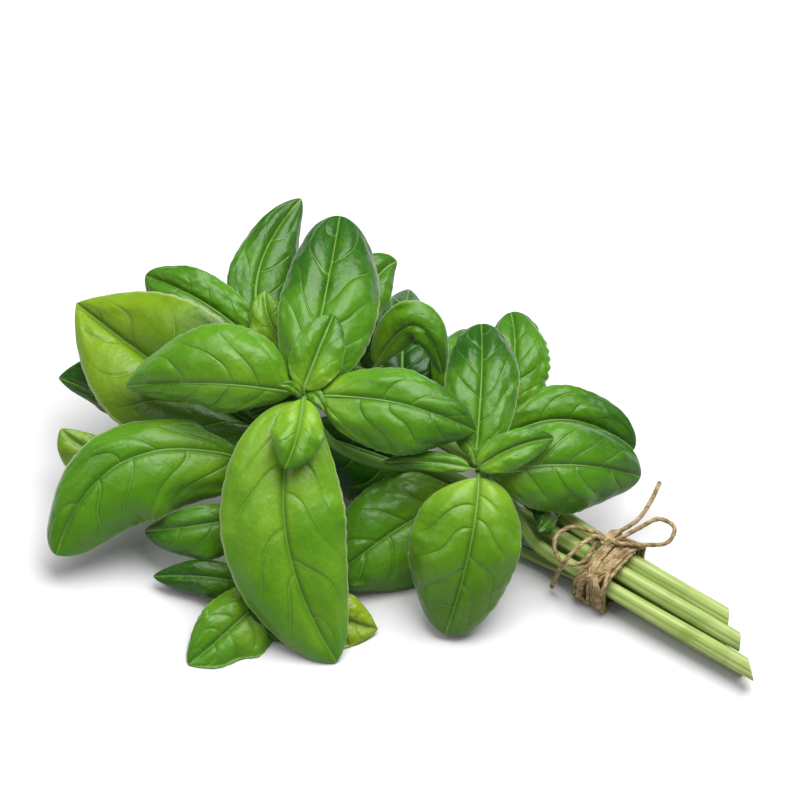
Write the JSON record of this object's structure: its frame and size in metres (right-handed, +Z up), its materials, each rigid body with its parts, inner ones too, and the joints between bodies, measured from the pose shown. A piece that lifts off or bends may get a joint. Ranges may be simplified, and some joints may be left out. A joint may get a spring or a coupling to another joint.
{
  "type": "basil bunch",
  "caption": "Bunch of fresh sweet basil lying on its side, its bare stalks tied with jute twine in a small bow.",
  "frame": {"origin": "middle of the whole bunch's box, on the surface that it lies on", "axes": "+X along the bundle of bare stalks towards their cut ends, +Z up, away from the surface"},
  "size_m": [0.2617, 0.1725, 0.0756],
  "materials": {
    "leaf": "soft gloss",
    "twine": "matte"
  },
  "bodies": {
    "root": {"leafy_stem_front_rosette": "leaf", "leafy_stem_right_rosette": "leaf", "leafy_stem_top": "leaf", "leafy_stem_left": "leaf", "leafy_stem_low": "leaf", "leafy_stem_back": "leaf", "twine_tie": "twine", "twine_loop_right": "twine", "twine_tail_right": "twine", "twine_loop_left": "twine", "twine_tail_left": "twine"}
  },
  "joints": []
}
